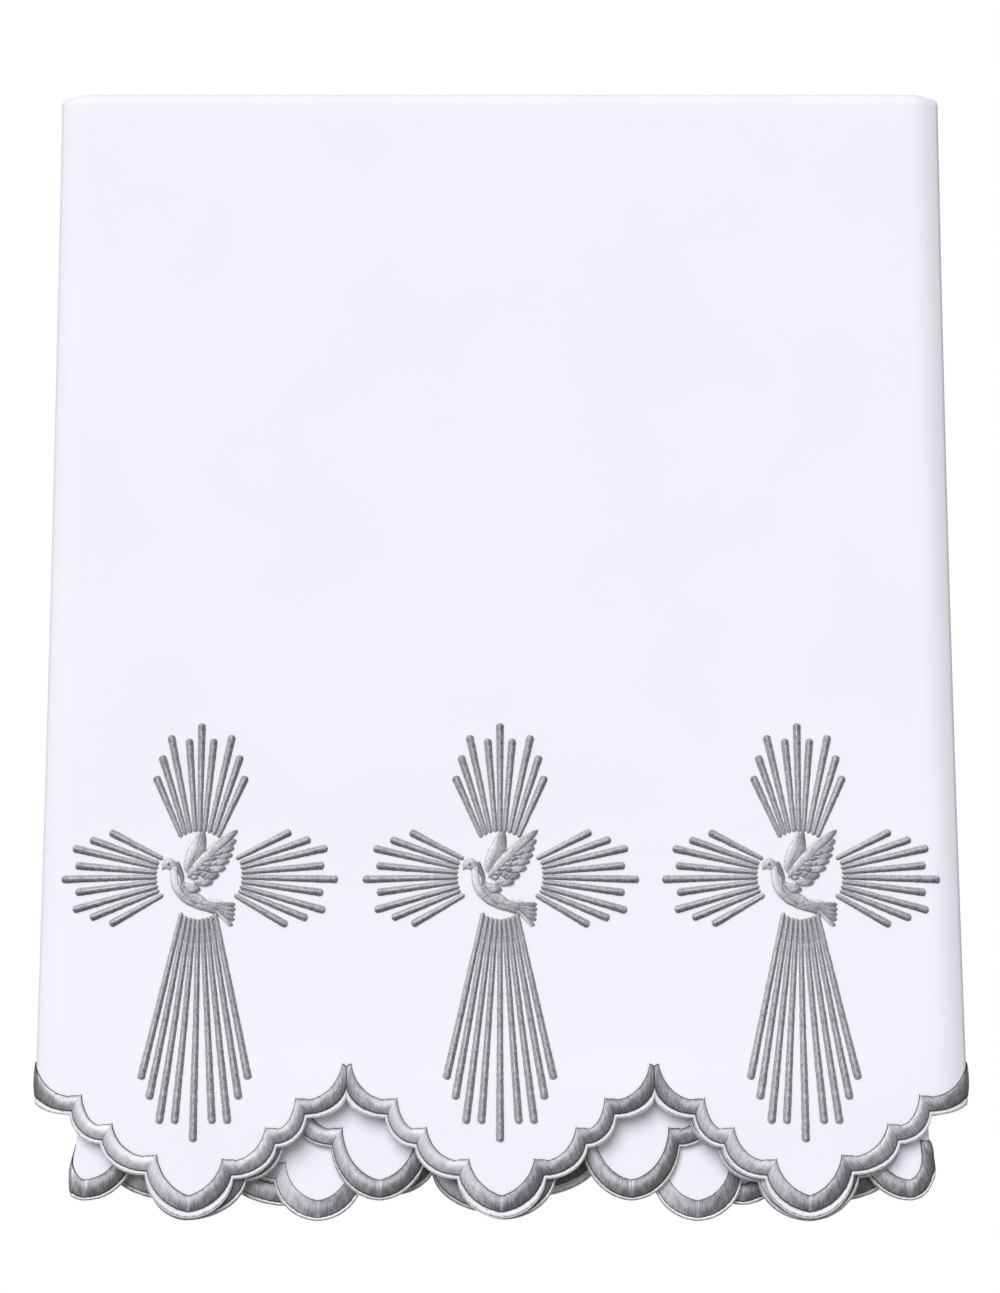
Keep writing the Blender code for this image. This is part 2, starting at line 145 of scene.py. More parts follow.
# The shares of a flank's width and depth that its first three scallops take, from the cusp down
FLANK_WIDTHS = (19.5 / 55.4, 14.7 / 55.4, 21.2 / 55.4)
FLANK_DEPTHS = (12.2 / 42.2, 14.5 / 42.2, 15.5 / 42.2)

# From the cut edge to a line of the satin border, at a cusp, at a notch and at a tip: towards the lobe's
# middle, and up. The last numbers are the angles that a lobe's lowest scallop turns through, in degrees.
Offset = namedtuple("Offset", "cusp notch tip sweep")
CUT_EDGE = Offset((0.0, 0.0), (0.0, 0.0), (0.0, 0.0), (6, 88))
SATIN_OUTER = Offset((0.0, 5.0 * MM), (1.0 * MM, 1.7 * MM), (0.0, 2.9 * MM), (10, 81))
SATIN_INNER = Offset((0.0, 16.0 * MM), (5.9 * MM, 9.8 * MM), (0.0, 11.4 * MM), (8, 74))
# The same on the layers under the front one, where less of the edge shows
NESTED_OUTER = Offset((0.0, 5.0 * MM), (0.7 * MM, 1.2 * MM), (0.0, 1.3 * MM), (7, 86))
NESTED_INNER = Offset((0.0, 16.0 * MM), (5.9 * MM, 9.8 * MM), (0.0, 10.4 * MM), (1, 82))
SIDE_SWEEP = (6, 90)  # of the other scallops
# Each strip of satin starts with an ear that stands past the strip before it, and ends nearly level before
# the next one's ear.
CUSP_EAR = (2.3 * MM, 1.2 * MM)
NOTCH_EAR = 0.7 * MM
LEVEL_LENGTH, LEVEL_DIP = 6.4 * MM, 0.5 * MM
LEVEL_SWEEP, LEVEL_BEND = (10, 84), (1.2 * MM, 0.8 * LEVEL_DIP)
SATIN_CREST = 0.58  # the satin is highest at this share of the way in
FRONT_HEIGHT, INNER_HEIGHT, UNDER_HEIGHT = 1.5 * MM, 1.2 * MM, 0.3 * MM
THREAD_BASE = SHEET / 2 - 0.05 * MM  # stitches start just inside the cloth's face
CUSP_ROUND = 0.3 * MM  # how far a strip takes to rise from a cusp
SCALLOP_STEPS, LEVEL_STEPS = 24, 20
FRONT_CUT_STEPS, BACK_CUT_STEPS = 10, 6

# The embroidered crosses of rays
CROSSES = (-152.9 * MM, 0.0, 152.2 * MM)
CROSS_HEIGHT = 170.9 * MM
RAY_HEIGHT, RAY_STITCH = 1.8 * MM, 0.85 * MM
RAY_HALF_WIDTHS = (1.3 * MM, 2.1 * MM)  # at its root and at its tip
RAY_PAINTED_SIDE_LIGHT = 0.42  # painted light: how much lighter a ray is painted on a side that looks fully the lit way, and darker on the other
PAINTED_LIT_SIDE = np.array([-0.51, 0.86])  # the way the painted light comes from, across and up
# A ray of a fan: how far to the side its root and its tip are, and how far out from the middle
Ray = namedtuple("Ray", "root_side root_out tip_side tip_out")


def ray_of(*sizes):
    """A ray, from its sizes in millimetres."""
    return Ray(*(size * MM for size in sizes))


UPPER_FAN = (
    ray_of(0.0, 22.2, 0.0, 78.6),
    ray_of(2.3, 22.2, 6.4, 70.6),
    ray_of(4.7, 21.7, 15.8, 72.4),
    ray_of(7.0, 20.7, 20.2, 61.9),
    ray_of(9.2, 19.5, 23.1, 51.3),
)
SIDE_FAN = (
    ray_of(0.0, 21.0, 0.0, 69.9),
    ray_of(2.3, 21.0, 6.9, 62.8),
    ray_of(4.6, 20.5, 15.8, 64.1),
    ray_of(6.8, 20.0, 20.1, 55.4),
    ray_of(9.0, 18.0, 23.7, 45.4),
)
LOWER_FAN = (
    ray_of(0.0, 21.8, 0.0, 133.6),
    ray_of(2.0, 21.4, 9.4, 124.6),
    ray_of(4.1, 20.9, 17.1, 124.6),
    ray_of(6.3, 20.1, 22.5, 112.6),
    ray_of(8.4, 18.4, 27.0, 102.6),
)
# The way that each fan points, across and up, where 1 is its plain reach, and its painted light and shade
# from its roots to its tips
FANS = (
    (UPPER_FAN, (0, 1), (0.55, 0.5, 0.4)),
    (SIDE_FAN, (1.012, -0.025), (0.55, 0.5, 0.4)),
    (LOWER_FAN, (0, -1), (0.55, 0.5, 0.48, 0.46)),
    (SIDE_FAN, (-1, -0.025), (0.55, 0.5, 0.4)),
)

# The dove inside each circle of rays, as satin shapes in millimetres from the circle's middle, the lowest
# first: the places that a shape's middle line passes, its half widths and its painted light and shade along
# it, low where shade is painted, as on the far wing's back half, the tail and the feather ends, and how many
# steps up it starts
Shape = namedtuple("Shape", "path half_widths gleam lift")
DOVE = (
    # far wing, its back half and its front half
    Shape(
        ((-5.0, 2.0), (-2.6, 5.8), (0.4, 10.2), (1.7, 14.6), (2.0, 19.0), (1.8, 23.6)),
        (0.9, 1.7, 2.1, 2.0, 1.4, 0.8),
        (0.1, 0.1, 0.2, 0.2, 0.05, 0.1),
        0.0,
    ),
    Shape(
        ((-6.4, 1.2), (-6.3, 5.8), (-3.7, 12.2), (-1.3, 18.0), (0.2, 22.9)),
        (0.9, 1.9, 2.5, 1.7, 0.7),
        (0.5, 0.65, 0.7, 0.65, 0.4),
        0.3,
    ),
    # tail
    Shape(((9.4, -14.8), (14.0, -14.9), (18.8, -14.9)), (0.9, 1.3, 1.2), (0.5, 0.2, 0.05), 0.0),
    Shape(((9.4, -16.0), (14.0, -16.7), (18.9, -17.4)), (0.9, 1.3, 1.3), (0.3, 0.35, 0.05), 0.3),
    Shape(((9.4, -17.0), (14.0, -18.5), (18.7, -20.1)), (0.9, 1.3, 1.3), (0.2, 0.4, 0.1), 0.1),
    Shape(((9.6, -18.0), (14.0, -20.4), (18.4, -22.8)), (0.9, 1.4, 1.2), (0.1, 0.3, 0.1), 0.4),
    Shape(((9.8, -19.0), (13.8, -22.2), (17.6, -25.8)), (0.9, 1.3, 0.9), (0.2, 0.3, 0.2), 0.2),
    Shape(((8.6, -17.8), (12.0, -21.2), (16.4, -26.2)), (0.7, 0.8, 0.5), (0.5, 0.8, 0.7), 0.6),
    Shape(
        ((-3.4, -15.4), (3.0, -16.6), (8.0, -18.4), (11.4, -20.2)),
        (1.0, 1.7, 1.5, 0.8),
        (0.5, 0.3, 0.2, 0.1),
        0.5,
    ),
    Shape(((4.0, -12.9), (8.5, -13.4), (12.4, -13.9)), (0.9, 1.3, 0.8), (0.6, 0.85, 0.6), 0.7),
    # rump, body, neck and breast
    Shape(((1.6, -13.8), (6.0, -15.1), (10.8, -16.6)), (1.4, 2.0, 1.7), (0.5, 0.35, 0.2), 0.55),
    Shape(
        ((-8.0, -3.0), (-6.4, -7.4), (-2.4, -11.2), (4.4, -14.0)),
        (1.5, 2.6, 2.9, 1.7),
        (0.25, 0.35, 0.45, 0.4),
        0.4,
    ),
    Shape(
        ((-11.4, 7.0), (-10.0, 3.0), (-8.6, -1.2), (-9.0, -5.6)),
        (1.2, 1.5, 1.2, 0.6),
        (0.1, 0.0, 0.1, 0.3),
        0.4,
    ),
    Shape(
        ((-13.0, 6.4), (-12.6, 0.4), (-11.9, -4.9), (-9.3, -9.6), (-5.2, -13.4), (-0.6, -16.0)),
        (1.6, 1.9, 2.0, 1.9, 1.7, 0.9),
        (0.6, 0.85, 0.75, 0.5, 0.35, 0.2),
        0.8,
    ),
    # beak, head and eye
    Shape(((-16.6, 5.0), (-17.9, 4.0), (-18.9, 2.7)), (1.6, 1.1, 0.3), (0.6, 0.5, 0.3), 0.7),
    Shape(((-18.9, 4.9), (-15.4, 5.7), (-11.6, 4.6)), (1.9, 3.0, 2.4), (0.55, 0.6, 0.35), 1.2),
    Shape(((-16.1, 5.5), (-15.4, 5.5), (-14.7, 5.5)), (0.7, 0.7, 0.7), (0.05, 0.05, 0.05), 3.6),
    # near wing's feathers
    Shape(((9.5, 13.4), (14.0, 15.2), (18.6, 18.0)), (1.3, 1.9, 1.4), (0.55, 0.35, 0.05), 0.4),
    Shape(((8.0, 11.2), (13.0, 12.6), (17.7, 14.0)), (1.3, 1.8, 1.3), (0.5, 0.35, 0.0), 0.6),
    Shape(((7.0, 8.6), (12.0, 9.5), (16.9, 10.4)), (1.3, 1.8, 1.3), (0.5, 0.4, 0.0), 0.8),
    Shape(((5.5, 6.0), (10.4, 6.6), (15.3, 7.2)), (1.3, 1.8, 1.3), (0.5, 0.5, 0.0), 1.0),
    Shape(((4.0, 2.8), (9.0, 3.2), (13.6, 3.8)), (1.4, 1.9, 1.4), (0.5, 0.55, 0.0), 1.2),
    Shape(((1.5, -0.4), (6.0, -0.6), (10.2, 0.4)), (1.4, 2.1, 1.5), (0.45, 0.2, 0.0), 1.4),
    Shape(((-2.3, -3.2), (2.6, -3.7), (7.2, -3.4)), (1.4, 2.0, 1.4), (0.5, 0.45, 0.0), 1.6),
    Shape(((-7.4, -4.4), (-4.2, -6.4), (0.9, -7.2)), (1.3, 2.6, 1.6), (0.5, 0.55, 0.0), 1.8),
    # near wing's small feathers
    Shape(((-4.6, -1.4), (-2.6, -1.2), (-0.4, -1.4)), (0.8, 1.2, 0.7), (0.2, 0.6, 0.1), 1.7),
    Shape(((-3.0, 0.8), (-0.8, 1.0), (1.6, 0.8)), (0.8, 1.2, 0.7), (0.6, 0.3, 0.0), 1.9),
    Shape(((0.4, 0.0), (2.6, 0.2), (4.6, 0.2)), (0.7, 1.2, 0.7), (0.6, 0.2, 0.1), 1.7),
    Shape(((-0.6, 3.2), (1.8, 3.4), (4.2, 3.4)), (0.8, 1.2, 0.7), (0.2, 0.5, 0.1), 1.9),
    Shape(((2.6, 2.6), (4.8, 2.8), (6.6, 3.0)), (0.7, 1.2, 0.7), (0.5, 0.1, 0.2), 1.7),
    Shape(((2.2, 5.6), (4.4, 5.8), (6.8, 5.8)), (0.8, 1.2, 0.7), (0.6, 0.4, 0.1), 1.9),
    Shape(((5.2, 5.4), (7.2, 5.6), (9.0, 5.8)), (0.7, 1.1, 0.7), (0.2, 0.5, 0.1), 1.7),
    Shape(((5.0, 8.2), (7.0, 8.4), (9.2, 8.6)), (0.8, 1.2, 0.7), (0.5, 0.2, 0.1), 1.9),
    Shape(((7.6, 10.6), (9.6, 11.0), (11.8, 11.4)), (0.8, 1.1, 0.7), (0.5, 0.4, 0.1), 1.9),
    # near wing's leading edge
    Shape(
        ((-5.8, -1.2), (-2.0, 3.9), (2.8, 9.1), (8.3, 14.2), (13.8, 18.6), (19.2, 23.0)),
        (1.1, 2.1, 2.4, 2.3, 2.0, 0.9),
        (0.4, 0.6, 0.6, 0.5, 0.4, 0.0),
        1.4,
    ),
)
DOVE_HEIGHT, DOVE_STITCH = 0.55 * MM, 0.6 * MM
DOVE_STEP = 0.5 * MM  # from one height of its shapes to the next
DOVE_RISE = 0.4 * MM  # how far its middle is above the middle of the rays

# The camera
CAMERA_TILT = math.radians(11.4)
CAMERA_DISTANCE = 1.678
FOCAL_MM, SENSOR_MM = 91.0, 36.0
AIM = Vector((0.0, -6.2 * MM, 17.0 * MM))

# The light: a sky that is brighter overhead, a soft sun from the upper left, and a white floor just under
# the pile
SKY_LOW, SKY_HIGH = (0.155, 0.132, 0.132), (0.46, 0.44, 0.452)
SKY_FROM, SKY_TO = -0.1, 0.75
SUN, SUN_COLOUR, SUN_ANGLE = 2.25, (0.97, 0.99, 1.045), math.radians(48)
SUN_WAY = (0.30, -0.50, -0.81)
FLOOR_REACH, FLOOR_HEIGHT = 60.0, -0.3 * MM


def set_camera():
    """The camera, on the photograph's side and at its tilt."""
    data = bpy.data.cameras.new("camera")
    data.sensor_fit = "VERTICAL"
    data.sensor_height = SENSOR_MM
    data.lens = FOCAL_MM
    camera = bpy.data.objects.new("camera", data)
    bpy.context.scene.collection.objects.link(camera)
    camera.rotation_euler = (CAMERA_TILT, 0, 0)
    camera.location = AIM + CAMERA_DISTANCE * Vector((0, -math.sin(CAMERA_TILT), math.cos(CAMERA_TILT)))
    bpy.context.scene.camera = camera


def level(layer):
    """How far a layer of the front half is above the middle of the pile."""
    return (LAYERS + 0.5 - layer) * PITCH


def stretch_table():
    """One row for each straight run and each half turn of the folded section, in order of u."""
    rows, begin, turn = [], 0.0, PITCH / 2
    runs = list(RUNS.values())
    for index, run in enumerate(runs):
        way = math.copysign(1, run.end - run.start)
        start = run.start + way * turn * (index > 0)
        end = run.end - way * turn * (index < len(runs) - 1)
        rows.append((begin, start, way, level(run.layer), 0.0))
        begin += abs(end - start)
        if index < len(runs) - 1:
            below = level(runs[index + 1].layer)
            down = math.copysign(1, below - level(run.layer))
            rows.append((begin, end, way, (level(run.layer) + below) / 2, down))
            begin += math.pi * turn
    return np.array(rows), begin


STRETCHES, CLOTH_WIDTH = stretch_table()


def u_of(name, across):
    """The u of a place across the pile on a named run, past the run's ends too."""
    begin, start, way, _, _ = STRETCHES[2 * list(RUNS).index(name)]
    return begin + way * (across - start)


def smooth(start, end, value):
    """Rises smoothly from 0 at start to 1 at end."""
    share = np.clip((value - start) / (end - start), 0, 1)
    return share * share * (3 - 2 * share)


def folded(points):
    """Where points (u, p, w) of the flat cloth are in the folded pile, as one array."""
    u, p, w = np.asarray(points, float).reshape(-1, 3).T
    # across the pile and round its side folds
    index = np.clip(np.searchsorted(STRETCHES[:, 0], u, "right") - 1, 0, len(STRETCHES) - 1)
    begin, start, way, middle, down = STRETCHES[index].T
    rest = u - begin
    radius = PITCH / 2
    turning = down != 0
    angle = np.where(turning, rest / radius, 0.0)
    out, along = np.sin(angle), np.cos(angle)
    across = start + np.where(turning, way * radius * out, way * rest)
    height = middle - down * radius * along
    nested = height < (level(2) + level(3)) / 2
    facing = -way * down
    across += w * facing * way * out
    height += w * way * along
    # over the top, with the sides drooping on the front
    turn = np.clip((p - TOP_LINE) / OVER_TOP, 0, 1) * math.pi
    past = np.maximum(np.abs(across) - DROOP_FROM, 0) / (HALF_WIDTH - DROOP_FROM)
    height -= DROOP * past**2 * (1 + np.cos(turn)) / 2
    flat = np.minimum(p, TOP_LINE) + height * np.sin(turn)
    y = np.where(p > BACK_START, TOP_LINE - (p - BACK_START), flat)
    z = MID_HEIGHT + height * np.cos(turn)
    # the nested folds' bulge, the waist, the spread of the right side and the lift by the hem
    bulge = BULGE * smooth(BULGE_INSIDE, LEFT_NESTED, np.abs(across)) * smooth(BULGE_FROM, BULGE_TO, p)
    across += np.where(nested, np.copysign(bulge, across), 0.0)
    share = np.clip(y / LENGTH, 0, 1)
    across *= 1 - WAIST / HALF_WIDTH * np.sin(math.pi * share)
    spread = RIGHT_SPREAD * smooth(SPREAD_FROM, HALF_WIDTH, across) * (1 - share) ** SPREAD_FADE
    across += np.where(nested, 0.0, spread)
    stacked = smooth(level(3), level(1), height) * smooth(LIFT_FROM, LIFT_TO, p)
    z += HEM_LIFT * stacked * smooth(HALF_WIDTH, HALF_WIDTH - LIFT_SIDE, np.abs(across))
    return np.stack([across, y - LENGTH / 2, np.maximum(z, 0.0)], axis=1)


def scallop(start, end, steps, sweep):
    """Points along one scallop, from its upper end to its lower end."""
    angle = np.radians(np.linspace(*sweep, steps + 1))
    aside, down = -np.cos(angle), np.sin(angle)
    x = start[0] + (end[0] - start[0]) * (aside - aside[0]) / (aside[-1] - aside[0])
    y = start[1] + (end[1] - start[1]) * (down - down[0]) / (down[-1] - down[0])
    return np.stack([x, y], axis=1)


# One scallop of a hem: the run that it is on, the way from the cusp to the tip along u, its upper and
# lower corners with what each is, and whether it rises in the order of u
Scallop = namedtuple("Scallop", "run way upper lower upper_kind lower_kind rising")
CORNER_KINDS = ("cusp", "notch", "notch", "notch", "tip")


def flank(cusp, tip, lobe, rising):
    """The four scallops of one flank of a lobe, from the cusp beside it down to its tip."""
    way = math.copysign(1, tip[0] - cusp[0])
    width = abs(tip[0] - cusp[0]) - (lobe.before if way > 0 else lobe.after)
    depth = cusp[1] - tip[1] - (lobe.depth_before if way > 0 else lobe.depth_after)
    corners = [cusp]
    for share_width, share_depth in zip(FLANK_WIDTHS, FLANK_DEPTHS):
        across, up = corners[-1]
        corners.append((across + way * width * share_width, up - depth * share_depth))
    corners.append(tip)
    corners[0] = (cusp[0], cusp[1] - CUSP_DIP)
    ends = list(zip(corners, corners[1:], CORNER_KINDS, CORNER_KINDS[1:]))
    return [Scallop(lobe.run, way, upper, lower, *kinds, rising) for upper, lower, *kinds in ends]


def hem_scallops(lobes):
    """Every scallop of a hem, in the order of u."""
    tips = [(u_of(lobe.run, lobe.across), lobe.lift) for lobe in lobes]
    found = []
    for left, right, left_lobe, right_lobe in zip(tips, tips[1:], lobes, lobes[1:]):
        middle, mean_height = (left[0] + right[0]) / 2, (left[1] + right[1]) / 2
        cusp = (middle + left_lobe.cusp_shift, mean_height + LOBE_DEPTH + left_lobe.cusp_rise)
        found += flank(cusp, left, left_lobe, True)[::-1]
        found += flank(cusp, right, right_lobe, False)
    return found


def moved(piece, offset):
    """A scallop's upper and lower corners on another line of the border."""
    ends = []
    for corner, kind in ((piece.upper, piece.upper_kind), (piece.lower, piece.lower_kind)):
        shift = getattr(offset, kind)
        ends.append(np.array([corner[0] + piece.way * shift[0], corner[1] + shift[1]]))
    return ends


def satin_offset(piece, inner):
    """The line of the border that is the inner or the outer edge of a scallop's satin."""
    if RUNS[piece.run].layer > 1:
        return NESTED_INNER if inner else NESTED_OUTER
    return SATIN_INNER if inner else SATIN_OUTER


def scallop_line(piece, offset, steps):
    """The points of a scallop on a line of the border, from its upper end."""
    return scallop(*moved(piece, offset), steps, offset.sweep if piece.lower_kind == "tip" else SIDE_SWEEP)


def hem_line(lobes, steps, at_satin=False):
    """A hem's cut edge, or its satin's outer edge, as one line of (u, height above the front tips)."""
    parts = []
    for piece in hem_scallops(lobes):
        line = scallop_line(piece, satin_offset(piece, False) if at_satin else CUT_EDGE, steps)
        parts.append(line[::-1] if piece.rising else line)
    return np.concatenate([parts[0]] + [part[1:] for part in parts[1:]])


def strip_edges(piece):
    """The outer and the inner edge of the satin strip along one scallop, each from its upper end."""
    way = piece.way
    outer = scallop_line(piece, satin_offset(piece, False), SCALLOP_STEPS)
    offset = satin_offset(piece, True)
    start, end = moved(piece, offset)
    if piece.upper_kind == "cusp":
        first = start + (way * CUSP_EAR[0], CUSP_EAR[1])
    else:
        first = start + (0.0, NOTCH_EAR)
    if piece.lower_kind == "tip":
        inner = scallop(first, end, SCALLOP_STEPS, offset.sweep)
    else:
        low = end - (way * LEVEL_LENGTH, LEVEL_DIP)
        inner = scallop(first, low, LEVEL_STEPS, LEVEL_SWEEP)
        inner = np.concatenate([inner, [low + (way * LEVEL_BEND[0], LEVEL_BEND[1]), end]])
    if piece.upper_kind == "cusp":
        inner = np.concatenate([[start], inner])
    return outer, inner


def lengths_along(line):
    """How far along a line each of its points is."""
    return np.concatenate([[0], np.cumsum(np.hypot(*np.diff(line, axis=0).T))])


def resampled(line, count):
    """Evenly spaced points along a line, and the line's length."""
    along = lengths_along(line)
    places = np.linspace(0, along[-1], count)
    return np.stack([np.interp(places, along, axis) for axis in line.T], axis=1), along[-1]


# How satin rises across its width: its height just inside its edges, as a share of its crest's, how round
# it is, from 1 for a roof to 2 for a pad, and how far a column's ends are rounded, in half widths
Profile = namedtuple("Profile", "wall roundness end")
PAD, RIDGE = Profile(0.36, 2.0, 1.3), Profile(0.12, 1.25, 0.8)
WALL_WIDTH, CROWN_POWER = 0.01, 0.8


def crowned(across, crest, profile=PAD):
    """How high satin stands across its width, from 0 at both edges to 1 at its crest."""
    near = np.where(across < crest, (crest - across) / crest, (across - crest) / (1 - crest))
    inside = (across > WALL_WIDTH) & (across < 1 - WALL_WIDTH)
    step = np.where(inside, profile.wall, 0.0)
    return step + (1 - step) * np.clip(1 - near**profile.roundness, 0, 1) ** CROWN_POWER


# Where a strip's mesh has its points across its width, closer together at its steep edges
FINE_ACROSS = np.array([0, 0.015, 0.06, 0.15, 0.29, 0.45, 0.6, 0.74, 0.86, 0.945, 0.985, 1.0])
PLAIN_ACROSS = np.array([0, 0.03, 0.15, 0.4, 0.65, 0.88, 0.98, 1.0])
COLUMN_ACROSS = np.array([0, 0.02, 0.14, 0.32, 0.5, 0.68, 0.86, 0.98, 1.0])
MIDWAY = 0.5

# A strip of satin as a tube of rings: its points (u, p, w), and for each the place along the strip in
# millimetres, across it from 0 to 1, and its painted light and shade, or on the rolled edge 1 under the front
Strip = namedtuple("Strip", "rings marks")

# How uneven satin is: how far every second stitch and a loose stitch are drawn in, with the most as a share
# of the width and as a length, and how much lower the one and how much higher the other lies
GROOVE_PULL, LOOSE_PULL = 0.22 * MM, 0.14 * MM
PULL_SHARE, PULL_LIMIT = 0.1, 1.0 * MM
GROOVE_DIP, LOOSE_RISE = 0.05, 0.02
NARROW = 2.2  # a strip narrower than this many heights lies lower
BLUNT = 0.12  # a rounded end starts at this share of its rounding


def satin(
    outer, inner, height, crest, across, base,
    under=0.0, end_round=(0.0, 0.0), gleam=0.5, profile=PAD, turn=0.0,
):
    """Satin stitches from an outer to an inner edge, which have the same number of points. end_round is how
    far each end takes to come up to the whole height, and turn is how much lighter the outer edge is painted
    and the inner edge darker, a painted light and shade."""
    count = len(outer)
    along = lengths_along((outer + inner) / 2)
    groove = np.arange(count) % 2 == 0
    loose = rng.uniform(-1, 1, (3, count))
    pull_out, pull_in = (groove * GROOVE_PULL + drawn * LOOSE_PULL for drawn in loose[:2])
    way = inner - outer
    width = np.maximum(np.hypot(*way.T), TINY)
    room = np.minimum(PULL_SHARE * width, PULL_LIMIT)
    way /= width[:, None]
    first = outer + way * np.minimum(pull_out, room)[:, None]
    last = inner - way * np.minimum(pull_in, room)[:, None]
    close = np.ones(count)
    for far, length in zip((along, along[-1] - along), end_round):
        if length:
            close *= np.sqrt(1 - (1 - np.clip(far / length, BLUNT, 1)) ** 2)
    rise = height * close * (1 - GROOVE_DIP * groove + LOOSE_RISE * loose[2])
    rise *= np.minimum(width / (NARROW * height), 1)

    def placed(shares, up):
        plan = first[:, None] + (last - first)[:, None] * shares[None, :, None]
        return np.concatenate([plan, up[:, :, None]], axis=2)

    rings = placed(across, base + np.outer(rise, crowned(across, crest, profile)))
    if under:
        back = np.concatenate([[1.0], across[-2:0:-1], [0.0]])
        down = -base - np.outer(under * close, crowned(back, MIDWAY))
        rings = np.concatenate([rings, placed(back, down)], axis=1)
        across = np.concatenate([across, back])
    # Painted light and shade along the strip, and by turn lighter at its outer edge and darker at its inner
    # one
    gleam = np.reshape(gleam, (-1, 1)) + np.outer(np.broadcast_to(turn, count), 1 - 2 * across)
    marks = np.stack(np.broadcast_arrays(along[:, None] / MM, across[None, :], gleam), axis=2)
    return Strip(rings, marks)


# The painted sheen and shade of a strip of the border, lighter or darker as light would fall on its stitches,
# at these shares of the way from its upper end to its lower one, by whether it goes down to the right and by
# which strip of the lobe's flank it is
PAINTED_SHEEN_PLACES = (0, 0.1, 0.5, 0.96, 1)
PAINTED_SHEEN = {
    (True, "cusp"): (0.3, 0.3, 0.4, 0.55, 0.55),
    (True, "notch"): (0.95, 0.9, 0.85, 0.75, 0.75),
    (True, "tip"): (0.95, 0.9, 0.7, 0.3, 0.8),
    (False, "cusp"): (0.2, 0.2, 0.2, 0.3, 0.3),
    (False, "notch"): (0.5, 0.45, 0.38, 0.35, 0.45),
    (False, "tip"): (0.3, 0.2, 0.15, 0.25, 0.8),
}
# The middles of the front lobes' flanks, and how much more painted sheen each has than the table says
FLANK_PLACES = np.array([-193, -116, -38, 40, 116, 193]) * MM
FLANK_PAINTED_SHEEN = (0.04, 0.14, 0.03, -0.06, -0.13, 0.12)

# Each part of the border: its name, its hem, its runs, how long a stitch is, how high the satin stands
# and where its points are across it
Border = namedtuple("Border", "name lobes runs stitch height across")
LEFT_RUNS = ("left_inner", "left_middle", "left_outer")
RIGHT_RUNS = ("right_inner", "right_middle", "right_outer")
BORDERS = (
    Border("front_border", FRONT_HEM, ("front",), 0.6 * MM, FRONT_HEIGHT, FINE_ACROSS),
    Border("left_border", FRONT_HEM, LEFT_RUNS, 0.8 * MM, INNER_HEIGHT, FINE_ACROSS),
    Border("right_border", FRONT_HEM, RIGHT_RUNS, 0.8 * MM, INNER_HEIGHT, FINE_ACROSS),
    Border("back_border", BACK_HEM, tuple(RUNS), 1.5 * MM, INNER_HEIGHT, PLAIN_ACROSS),
)


def strip_painted_sheen(piece, count):
    """The painted sheen and shade of the satin along one scallop, at each of its points."""
    rightward = (RUNS[piece.run].end > RUNS[piece.run].start) == (piece.way > 0)
    kind = piece.upper_kind if piece.upper_kind == "cusp" else piece.lower_kind
    gleam = np.interp(np.linspace(0, 1, count), PAINTED_SHEEN_PLACES, PAINTED_SHEEN[rightward, kind])
    if piece.run == "front":
        place = (piece.upper[0] + piece.lower[0]) / 2 - u_of("front", 0.0)
        gleam += np.interp(place, FLANK_PLACES, FLANK_PAINTED_SHEEN)
    return gleam


def border_strips(border):
    """The satin strips of one part of the border, without those that run past the cloth's ends."""
    strips = []
    for piece in hem_scallops(border.lobes):
        if piece.run not in border.runs:
            continue
        outer, inner = strip_edges(piece)
        length = (lengths_along(outer)[-1] + lengths_along(inner)[-1]) / 2
        count = 2 * max(3, round(length / border.stitch)) + 1
        ends = (CUSP_ROUND if piece.upper_kind == "cusp" else 0.0, 0.0)
        strips.append(satin(
            resampled(outer, count)[0], resampled(inner, count)[0], border.height, SATIN_CREST, border.across,
            THREAD_BASE, UNDER_HEIGHT, ends, strip_painted_sheen(piece, count),
        ))
    return [s for s in strips if s.rings[:, :, 0].min() > 0 and s.rings[:, :, 0].max() < CLOTH_WIDTH]


# The rolled edge: half its height, how far it laps over the satin and the cut, and its sides
EDGE_HALF_HEIGHT, EDGE_OVERLAP, EDGE_SIDES = 0.85 * MM, 1.04, 8


def edge_strips(lobes):
    """The rolled white edge that runs round a hem outside its satin."""
    around = np.linspace(0, 2 * math.pi, EDGE_SIDES + 1)[:-1]
    outer, inner = (hem_line(lobes, SCALLOP_STEPS, at_satin) for at_satin in (False, True))
    keep = (outer[:, 0] > 0) & (outer[:, 0] < CLOTH_WIDTH)
    outer, inner = outer[keep], inner[keep]
    middle = (outer + inner) / 2
    way = (inner - outer) / 2 * EDGE_OVERLAP
    plan = middle[:, None] + way[:, None] * np.cos(around)[None, :, None]
    up = np.broadcast_to(np.sin(around)[None, :, None] * EDGE_HALF_HEIGHT, plan.shape[:2] + (1,))
    rings = np.concatenate([plan, up], axis=2)
    along = lengths_along(middle)[:, None] / MM
    across = (1 + np.cos(around))[None, :] / 2
    nested = (middle[:, :1] < u_of("front", -HALF_WIDTH)) | (middle[:, :1] > u_of("front", HALF_WIDTH))
    marks = np.stack(np.broadcast_arrays(along, across, nested), axis=2)
    return [Strip(rings[:, ::-1], marks[:, ::-1])]


PATH_POINTS, CURVE_POINTS = 80, 40
WIDTH_PLACES = np.linspace(0, 1, 20)
POINTED = 0.02  # the square of how wide a column's very ends are, as a share of its width


